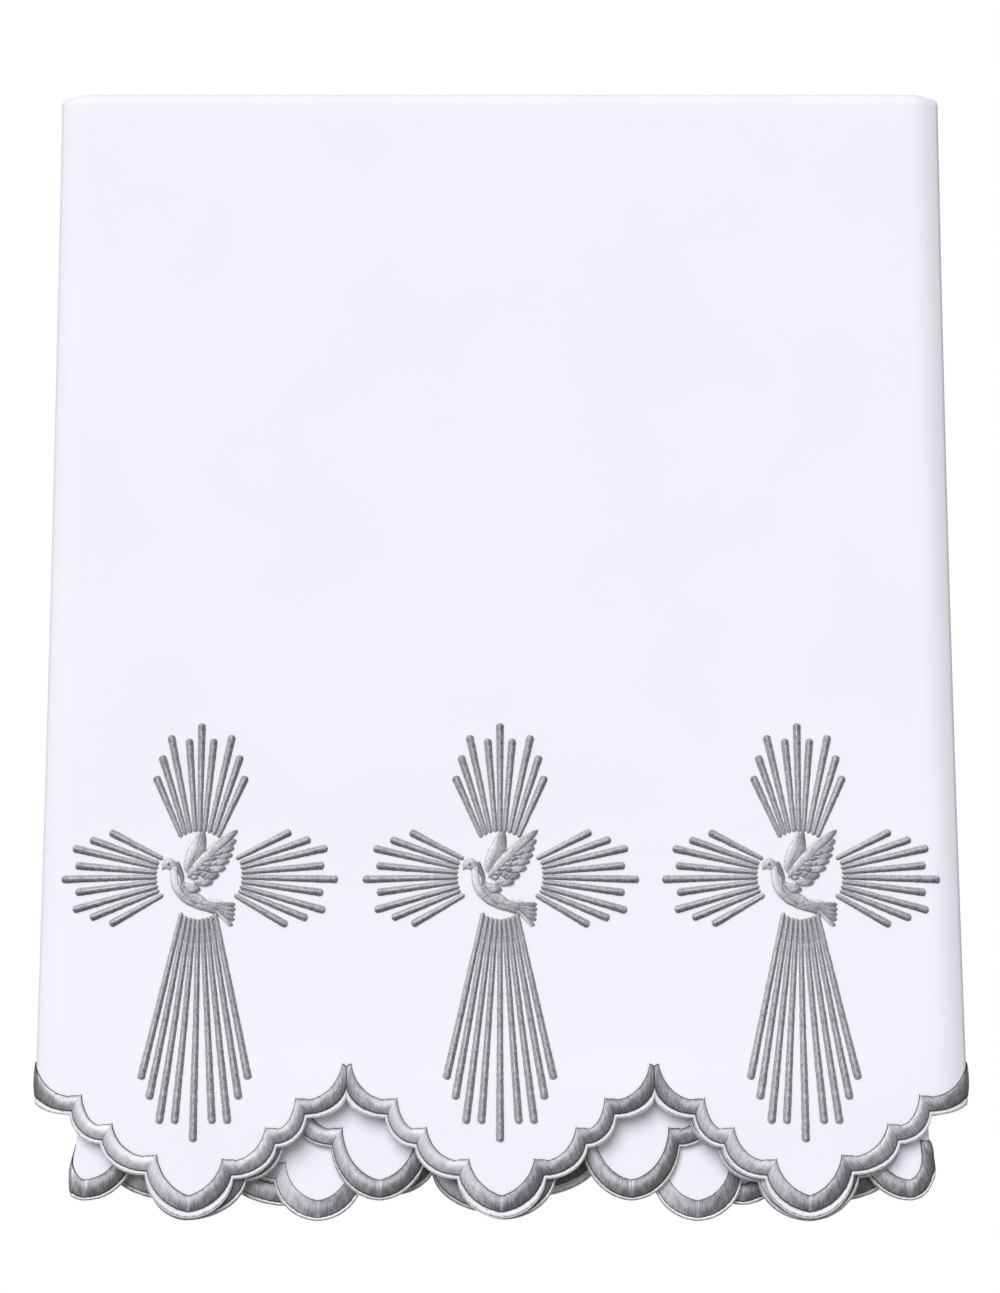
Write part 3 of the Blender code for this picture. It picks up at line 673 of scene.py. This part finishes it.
def column(path, half_widths, stitch, height, lift=0.0, gleam=(0.5,), profile=PAD, sheen=0.0):
    """A satin column with rounded ends along a path on the flat cloth, from lift above its face. By sheen it
    is painted lighter on its side towards the lit way and darker on the other, a painted light and shade."""
    line, length = resampled(np.asarray(path, float), PATH_POINTS)
    count = 2 * max(4, round(length / stitch)) + 1
    line, length = resampled(line, count)
    along = np.linspace(0, length, count)
    half = np.interp(along, np.linspace(0, length, len(half_widths)), half_widths)
    end = min(length / 2, profile.end * max(half_widths))
    for far in (along, length - along):
        half = half * np.sqrt(np.clip(1 - np.clip(1 - far / end, 0, 1) ** 2, POINTED, 1))
    tangent = np.gradient(line, along, axis=0)
    tangent /= np.hypot(*tangent.T)[:, None]
    side = np.stack([-tangent[:, 1], tangent[:, 0]], axis=1)
    # The painted light and shade of each side, by how far it faces the lit way
    turn = sheen * (side @ PAINTED_LIT_SIDE)
    side *= half[:, None]
    gleam = np.interp(along, np.linspace(0, length, len(gleam)), gleam)
    return satin(
        line + side, line - side, height, MIDWAY, COLUMN_ACROSS, THREAD_BASE + lift,
        end_round=(end, end), gleam=gleam, profile=profile, turn=turn,
    )


def ray_columns():
    """The rays of one cross, around its middle."""
    columns = []
    for fan, (out_x, out_y), gleam in FANS:
        for ray in fan:
            for side in (-1, 1) if ray.tip_side else (1,):
                ends = []
                for out, aside in ((ray.root_out, side * ray.root_side), (ray.tip_out, side * ray.tip_side)):
                    ends.append((out * out_x - aside * out_y, out * out_y + aside * out_x))
                columns.append(column(
                    ends, RAY_HALF_WIDTHS, RAY_STITCH, RAY_HEIGHT, gleam=gleam, profile=RIDGE, sheen=RAY_PAINTED_SIDE_LIGHT
                ))
    return columns


def curve_through(points):
    """A smooth line through points."""
    points = np.asarray(points, float)
    padded = np.concatenate([2 * points[:1] - points[1:2], points, 2 * points[-1:] - points[-2:-1]])
    line = []
    spans = len(points) - 1
    for place in np.linspace(0, spans, CURVE_POINTS):
        index = min(int(place), spans - 1)
        t = place - index
        a, b, c, d = padded[index : index + 4]
        line.append(
            0.5 * (2 * b + (c - a) * t + (2 * a - 5 * b + 4 * c - d) * t**2 + (3 * b - 3 * c + d - a) * t**3)
        )
    return np.array(line)


def dove_columns():
    """The satin shapes of one dove, around the middle of its circle."""
    columns = []
    for shape in DOVE:
        path = curve_through(np.array(shape.path) * MM) + (0.0, DOVE_RISE)
        widths = np.interp(WIDTH_PLACES, np.linspace(0, 1, len(shape.half_widths)), shape.half_widths) * MM
        columns.append(column(path, widths, DOVE_STITCH, DOVE_HEIGHT, shape.lift * DOVE_STEP, shape.gleam))
    return columns


def mesh_object(name, points, faces, material, smooth_faces=True):
    """A new object in the scene."""
    mesh = bpy.data.meshes.new(name)
    mesh.from_pydata([tuple(p) for p in points], [], [tuple(f) for f in faces])
    mesh.polygons.foreach_set("use_smooth", [smooth_faces] * len(mesh.polygons))
    mesh.materials.append(material)
    mesh.update()
    piece = bpy.data.objects.new(name, mesh)
    bpy.context.scene.collection.objects.link(piece)
    return piece


def mark(piece, name, vectors):
    """Stores one vector for each point of a piece, for its material to read."""
    layer = piece.data.attributes.new(name, "FLOAT_VECTOR", "POINT")
    layer.data.foreach_set("vector", np.ascontiguousarray(vectors, np.float32).reshape(-1))


def stitched(name, strips, material, origin=(0.0, 0.0), back=False):
    """Joins strips of stitches, laid out around origin (u, p), into one piece on the folded cloth."""
    points, marks, faces, first = [], [], [], 0
    for strip in strips:
        count, around = strip.rings.shape[:2]
        ring = np.arange(around)
        after = (ring + 1) % around
        here = first + np.arange(count - 1)[:, None] * around
        beyond = here + around
        sides = np.stack([here + ring, here + after, beyond + after, beyond + ring], axis=2)
        whole = [tuple(f) for f in sides.reshape(-1, 4)]
        whole += [tuple(first + ring[::-1]), tuple(first + (count - 1) * around + ring)]
        # A strip that runs the other way round is turned so that its faces look out. It shows in the turn
        # from its first ring's start to a place a third of the way round it, and to a later ring's start.
        a, b, c = strip.rings[0, 0], strip.rings[0, around // 3], strip.rings[min(4, count - 1), 0]
        turned = (b[0] - a[0]) * (c[1] - a[1]) - (b[1] - a[1]) * (c[0] - a[0]) > 0
        if turned != back:
            whole = [f[::-1] for f in whole]
        faces += whole
        points.append(strip.rings.reshape(-1, 3) + (*origin, 0.0))
        marks.append(strip.marks.reshape(-1, 3))
        first += count * around
    points = np.concatenate(points)
    if back:
        points[:, 1] = BACK_HEM_LINE - points[:, 1]
    piece = mesh_object(name, folded(points), faces, material)
    mark(piece, "stitch", np.concatenate(marks))
    return piece


# How the cloth's mesh is laid out: where its rows start and end and how far apart they are, by the front
# hem, on the front and on the back, how wide a column is, and the steps round a side fold, down a drooping
# side and over the top
HEM_ROWS = (8 * MM, 76 * MM, 8 * MM)
FRONT_ROWS = (80 * MM, TOP_LINE - 5 * MM, 14 * MM)
BACK_ROWS = (BACK_START + 15 * MM, BACK_HEM_LINE - 80 * MM, 40 * MM)
COLUMN_WIDTH = 14 * MM
FOLD_STEPS, DROOP_STEPS, TOP_STEPS = 8, 7, 12
ROW_ROOM = 3 * MM  # no row is closer than this to the cut edge
WITHIN_OUTLINE = 1  # the triangles that are kept


def cloth_columns():
    """The u of each line down the cloth, close together at the folds."""
    columns = []
    ends = [*STRETCHES[1:, 0], CLOTH_WIDTH]
    for (begin, _, _, _, down), end in zip(STRETCHES, ends):
        if down:
            columns += list(np.linspace(begin, end, FOLD_STEPS + 1)[1:-1])
        else:
            columns += list(np.linspace(begin, end, max(2, round((end - begin) / COLUMN_WIDTH))))
    for name in ("left_outer", "front", "right_outer"):
        low, high = sorted(RUNS[name][1:])
        for side in (-1, 1):
            across = side * np.linspace(DROOP_FROM, HALF_WIDTH - PITCH, DROOP_STEPS + 1)
            columns += [u_of(name, x) for x in across if low < x < high]
    return sorted(columns)


def cloth_rows():
    """The p of each line across the cloth."""
    top = np.linspace(TOP_LINE, BACK_START, TOP_STEPS + 1)
    return np.concatenate([np.arange(*HEM_ROWS), np.arange(*FRONT_ROWS), top, np.arange(*BACK_ROWS)])


def cut_outline():
    """The cloth's cut edge as two lines: the front hem, and the back hem the other way."""
    outline = []
    for lobes, steps, back in ((FRONT_HEM, FRONT_CUT_STEPS, False), (BACK_HEM, BACK_CUT_STEPS, True)):
        line = hem_line(lobes, steps)
        inside = line[(line[:, 0] > 0) & (line[:, 0] < CLOTH_WIDTH)]
        ends = [(u, np.interp(u, *line.T)) for u in (0.0, CLOTH_WIDTH)]
        whole = np.array([ends[0], *inside, ends[1]])
        if back:
            whole[:, 1] = BACK_HEM_LINE - whole[:, 1]
            whole = whole[::-1]
        outline.append(whole)
    return outline


def build_cloth(material):
    """The folded cloth as one closed sheet, and its flat area."""
    front, back = cut_outline()
    outline = np.concatenate([front, back])
    count = len(outline)
    points = [Vector(p) for p in outline]
    lines = [(i, (i + 1) % count) for i in range(count)]
    rows = cloth_rows()
    for u in cloth_columns()[1:-1]:
        low = np.interp(u, *front.T)
        high = np.interp(u, *back[::-1].T)
        lines.append((len(points), len(points) + 1))
        points += [Vector((u, low)), Vector((u, high))]
        points += [Vector((u, p)) for p in rows if low + ROW_ROOM < p < high - ROW_ROOM]
    found, _, faces, _, _, _ = delaunay_2d_cdt(points, lines, [list(range(count))], WITHIN_OUTLINE, TINY)
    flat = np.array([(p.x, p.y) for p in found])
    size = len(flat)
    sides = [folded(np.column_stack([flat, np.full(size, w)])) for w in (SHEET / 2, -SHEET / 2)]
    # The directed edges that no other face shares are the cut edge, which the rim of faces closes.
    ends = set()
    for face in faces:
        for a, b in zip(face, face[1:] + face[:1]):
            if (b, a) in ends:
                ends.remove((b, a))
            else:
                ends.add((a, b))
    whole = [tuple(f) for f in faces]
    whole += [tuple(i + size for i in reversed(f)) for f in faces]
    whole += [(b, a, a + size, b + size) for a, b in sorted(ends)]
    piece = mesh_object("cloth", np.concatenate(sides), whole, material)
    mark(piece, "weave", np.tile(np.column_stack([flat / MM, np.zeros(size)]), (2, 1)))
    rim = {tuple(sorted(pair)) for a, b in ends for pair in ((a, b), (a + size, b + size))}
    for edge in piece.data.edges:
        if tuple(sorted(edge.vertices)) in rim:
            edge.use_edge_sharp = True
    corners = flat[np.array([f[:3] for f in faces])]
    one, two = corners[:, 1] - corners[:, 0], corners[:, 2] - corners[:, 0]
    return piece, float(np.abs(one[:, 0] * two[:, 1] - one[:, 1] * two[:, 0]).sum() / 2)


class Value:
    """A socket of some nodes. Sums on it add the nodes that work them out."""

    def __init__(self, nodes, socket):
        self.nodes = nodes
        self.socket = socket

    def math(self, operation, *values):
        return self.nodes.node("ShaderNodeMath", {"operation": operation}, dict(enumerate(values)))

    def sine(self):
        return self.math("SINE", self)

    def __add__(self, other):
        return self.math("ADD", self, other)

    def __sub__(self, other):
        return self.math("SUBTRACT", self, other)

    def __mul__(self, other):
        return self.math("MULTIPLY", self, other)

    def __rsub__(self, other):
        return self.math("SUBTRACT", other, self)

    __radd__ = __add__
    __rmul__ = __mul__


class Nodes:
    """The nodes of a finish or of the sky."""

    def __init__(self, tree):
        self.tree = tree

    def node(self, kind, settings=None, sockets=None, output=0):
        """A node of a type, with its settings, then the values or links of its sockets."""
        made = self.tree.nodes.new(kind)
        for name, value in (settings or {}).items():
            setattr(made, name, value)
        for name, value in (sockets or {}).items():
            self.feed(made.inputs[name], value)
        return Value(self, made.outputs[output])

    def feed(self, socket, value):
        if isinstance(value, Value):
            self.tree.links.new(value.socket, socket)
        else:
            socket.default_value = value

    def parts(self, vector):
        """The three numbers of a vector."""
        split = self.node("ShaderNodeSeparateXYZ", {}, {0: vector}).socket.node
        return [Value(self, split.outputs[i]) for i in range(3)]

    def between(self, low, high, value):
        """0 below low, 1 above high, and smooth between them."""
        sockets = {"Value": value, "From Min": low, "From Max": high}
        return self.node("ShaderNodeMapRange", {"interpolation_type": "SMOOTHSTEP"}, sockets)

    def blend(self, factor, one, two):
        """A colour between two colours, of which the second is plain."""
        one = one if isinstance(one, Value) else (*one, 1)
        settings = {"data_type": "RGBA", "clamp_factor": True}
        return self.node("ShaderNodeMix", settings, {0: factor, 6: one, 7: (*two, 1)}, 2)


class Finish(Nodes):
    """A material and its nodes."""

    def __init__(self, name, **settings):
        self.material = bpy.data.materials.new(name)
        self.material.use_nodes = True
        super().__init__(self.material.node_tree)
        self.shader = self.tree.nodes["Principled BSDF"]
        for socket, value in settings.items():
            self.set(socket.replace("_", " "), value)

    def set(self, name, value):
        self.feed(self.shader.inputs[name], value)

    def marks(self, name):
        """The vector stored on the mesh under a name, and its three parts."""
        vector = self.node("ShaderNodeAttribute", {"attribute_name": name}, {}, 1)
        return vector, *self.parts(vector)

    def noise(self, vector, repeats, detail=2.0):
        """Noise with so many spots for each unit of a vector's parts."""
        place = self.node("ShaderNodeVectorMath", {"operation": "MULTIPLY"}, {0: vector, 1: repeats})
        return self.node("ShaderNodeTexNoise", {}, {"Vector": place, "Scale": 1.0, "Detail": detail})

    def bump(self, height, distance, strength):
        sockets = {"Height": height, "Distance": distance, "Strength": strength}
        self.set("Normal", self.node("ShaderNodeBump", {}, sockets))


# White cloth, in its shaded and its bright places. A wave of threads or ribs is given in radians, and the
# spots of a noise are counted, for each millimetre along u and p.
CLOTH_SHADED, CLOTH_BRIGHT = (0.885, 0.9, 0.935), (0.915, 0.93, 0.965)
WEAVE, WEAVE_SHIFT, WEAVE_DEPTH = 11.0, 6.0, 0.05 * MM
WANDER, CLOUDS = (0.15, 0.15, 0.15), (0.012, 0.012, 0.012)
SLUBS_ALONG, SLUBS_DOWN = (0.25, 2.5, 1.0), (2.5, 0.25, 1.0)


def cloth_finish():
    """Fine white plain weave with a soft sheen."""
    finish = Finish("white_cloth", Sheen_Weight=0.12, Sheen_Roughness=0.5, Specular_IOR_Level=0.3)
    vector, u, p, _ = finish.marks("weave")
    wander = finish.noise(vector, WANDER) * WEAVE_SHIFT
    warp, weft = ((way * WEAVE + wander).sine() for way in (u, p))
    slub = finish.noise(vector, SLUBS_ALONG, 3.0)
    threads = warp * weft * 0.5 + slub + finish.noise(vector, SLUBS_DOWN, 3.0)
    tone = finish.between(0.25, 0.75, finish.noise(vector, CLOUDS) * 0.6 + threads * 0.2)
    finish.set("Base Color", finish.blend(tone, CLOTH_SHADED, CLOTH_BRIGHT))
    finish.set("Roughness", 0.72 + slub * 0.16)
    finish.bump(threads, WEAVE_DEPTH, 0.6)
    return finish.material


# The rolled edge's thread, in its shaded and its bright places, and painted shade: grey along its outside and
# where it meets the satin
EDGE_SHADED, EDGE_BRIGHT = (0.88, 0.88, 0.90), (0.97, 0.97, 0.98)
EDGE_OUTSIDE_SHADE, EDGE_SEAM_SHADE = (0.20, 0.185, 0.195), (0.16, 0.15, 0.16)
WINDING, WINDING_SLANT, WINDING_DEPTH = 9.0, 2.0, 0.1 * MM
LOOSE_THREADS, FRAYS = (1.6, 3.0, 1.0), (0.45, 0.9, 1.0)
FRAY_REACH, LOOSE_REACH = 0.5, 0.24  # how far they move the painted shade's edge, as a share of the edge's width
NESTED_SHADE_REACH = 0.22  # how much wider the painted shade outside is under the front


def edge_finish():
    """White thread wound closely over the rolled edge, with painted shade along its outside and where it
    meets the satin.
    """
    finish = Finish("white_edge", Sheen_Weight=0.1, Specular_IOR_Level=0.4)
    vector, along, across, nested = finish.marks("stitch")
    wound = (along * WINDING + across * WINDING_SLANT).sine()
    loose = finish.noise(vector, LOOSE_THREADS)
    tone = finish.between(0.2, 0.8, loose * 0.8 + wound * 0.12)
    white = finish.blend(tone, EDGE_SHADED, EDGE_BRIGHT)
    frayed = finish.noise(vector, FRAYS, 1.0)
    ragged = across + (loose - 0.5) * LOOSE_REACH + (frayed - 0.5) * FRAY_REACH
    # Painted shade: grey along the outside, wider under the front, and a dark line where the edge meets the
    # satin
    painted_outside_shade = 1.0 - finish.between(0.05, 0.5, ragged - nested * NESTED_SHADE_REACH)
    painted_seam_shade = finish.between(0.84, 0.94, ragged)
    shaded_white = finish.blend(painted_outside_shade * 0.9, white, EDGE_OUTSIDE_SHADE)
    finish.set("Base Color", finish.blend(painted_seam_shade * 0.8, shaded_white, EDGE_SEAM_SHADE))
    finish.set("Roughness", 0.55 + loose * 0.2)
    finish.bump(wound * 0.5 + loose, WINDING_DEPTH, 0.7)
    return finish.material


# A thread: its colours where its satin is painted darkest and lightest, how metallic it is, how far its light
# places are single flecks instead of whole stitches, how wide the painted shade is where the needle goes in,
# as a share of a strip's width, how dark it is, and how much lighter it is painted inwards and darker
# outwards
Thread = namedtuple("Thread", "name dark light metallic flecks holes_width holes_depth inwards")
BORDER_THREAD = Thread("border_thread", (0.125, 0.117, 0.123), (0.64, 0.63, 0.64), 0.55, 0.2, 0.09, 1.0, 0.32)
RAY_THREAD = Thread("ray_thread", (0.105, 0.098, 0.102), (0.72, 0.70, 0.71), 0.4, 0.7, 0.07, 0.85, 0.0)
DOVE_THREAD = Thread("silver_thread", (0.15, 0.155, 0.16), (0.78, 0.785, 0.80), 0.3, 0.45, 0.05, 0.45, 0.0)
# Its noises have their spots counted for each millimetre along a strip and for a strip's whole width.
STITCHES, FLECKS, PATCHES = (2.6, 1.2, 0.0), (1.3, 8.0, 0.0), (0.4, 2.6, 0.0)
STITCH_STREAKS, FLECK_STREAKS, PATCH_STREAKS = 0.9, 1.6, 0.7
STITCH_RIBS, STITCH_DEPTH = 14.0, 0.06 * MM
HOLE_SHADE_CORE = 0.3  # how much of the painted shade's width where the needle goes in is fully dark
HOLE_SHADE = 0.3  # the painted shade's colour, as a share of the thread's dark one


def thread_finish(thread):
    """Shiny satin stitches, each a thread across the strip, with painted shade along both edges where the
    needle goes in. The painted light and shade of a strip come with its marks: its satin is painted lighter
    or darker as light would fall on its stitches where they turn."""
    finish = Finish(thread.name, Metallic=thread.metallic, Sheen_Weight=0.1, Specular_IOR_Level=0.6)
    vector, along, across, gleam = finish.marks("stitch")
    each = finish.noise(vector, STITCHES)
    fleck = finish.noise(vector, FLECKS, 3.0)
    patch = finish.noise(vector, PATCHES)
    ribs = (along * STITCH_RIBS).sine()
    streaks = (each - 0.5) * (STITCH_STREAKS * (1 - thread.flecks))
    streaks = streaks + (fleck - 0.5) * (FLECK_STREAKS * thread.flecks) + (patch - 0.5) * PATCH_STREAKS
    # The tone holds the painted light and shade, lighter inwards and darker outwards, and random streaks
    tone = gleam * 0.8 + 0.1 + streaks + (across - 0.5) * thread.inwards
    colour = finish.blend(finish.between(0.0, 1.0, tone), thread.dark, thread.light)
    # Painted shade along both edges of a strip, where the needle goes in
    edge = across.math("MINIMUM", across, 1.0 - across) + (each - 0.5) * thread.holes_width
    painted_hole_shade = 1.0 - finish.between(HOLE_SHADE_CORE * thread.holes_width, thread.holes_width, edge)
    hole_shade_colour = [HOLE_SHADE * part for part in thread.dark]
    finish.set("Base Color", finish.blend(painted_hole_shade * thread.holes_depth, colour, hole_shade_colour))
    finish.set("Roughness", 0.42 + fleck * 0.12)
    finish.bump(ribs * 0.25 + each * 0.6 + fleck * thread.flecks, STITCH_DEPTH, 0.7)
    return finish.material


def floor_finish():
    """An even white that takes no shadow."""
    finish = Finish("floor")
    glow = finish.node("ShaderNodeEmission", {}, {"Color": (1, 1, 1, 1), "Strength": 1.0})
    finish.feed(finish.tree.nodes["Material Output"].inputs["Surface"], glow)
    return finish.material


def lay_floor():
    """A plain white floor, which isn't part of the cloth and takes no part in its light."""
    corners = [
        (x * FLOOR_REACH, y * FLOOR_REACH, FLOOR_HEIGHT) for x, y in ((-1, -1), (1, -1), (1, 1), (-1, 1))
    ]
    floor = mesh_object("floor", corners, [(0, 1, 2, 3)], floor_finish(), smooth_faces=False)
    for ray in ("diffuse", "glossy", "transmission", "shadow"):
        setattr(floor, f"visible_{ray}", False)


def set_light():
    """Soft light from above and the upper left, as in a pale studio."""
    world = bpy.data.worlds.new("world")
    world.use_nodes = True
    sky = Nodes(world.node_tree)
    _, _, up = sky.parts(sky.node("ShaderNodeTexCoord"))
    colour = sky.blend(sky.between(SKY_FROM, SKY_TO, up), SKY_LOW, SKY_HIGH)
    sky.feed(sky.tree.nodes["Background"].inputs["Color"], colour)
    bpy.context.scene.world = world

    data = bpy.data.lights.new("sun", "SUN")
    data.energy = SUN
    data.color = SUN_COLOUR
    data.angle = SUN_ANGLE
    sun = bpy.data.objects.new("sun", data)
    sun.rotation_euler = Vector(SUN_WAY).to_track_quat("-Z", "Y").to_euler()
    bpy.context.scene.collection.objects.link(sun)
    bpy.context.scene.view_settings.view_transform = "Standard"


set_camera()
white_cloth, white_edge = cloth_finish(), edge_finish()
border_thread, ray_thread, silver_thread = map(thread_finish, (BORDER_THREAD, RAY_THREAD, DOVE_THREAD))

cloth, flat_area = build_cloth(white_cloth)
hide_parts("altar_cloth")
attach(cloth, "root")

pieces = []
for border in BORDERS:
    pieces.append(stitched(border.name, border_strips(border), border_thread, back=border.lobes is BACK_HEM))
for number, across in enumerate(CROSSES, 1):
    origin = (u_of("front", across), CROSS_HEIGHT)
    pieces.append(stitched(f"rays_{number}", ray_columns(), ray_thread, origin))
    pieces.append(stitched(f"dove_{number}", dove_columns(), silver_thread, origin))
edges = [
    stitched("front_edge", edge_strips(FRONT_HEM), white_edge),
    stitched("back_edge", edge_strips(BACK_HEM), white_edge, back=True),
]
for piece in pieces + edges:
    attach(piece, "root")

lay_floor()
set_light()
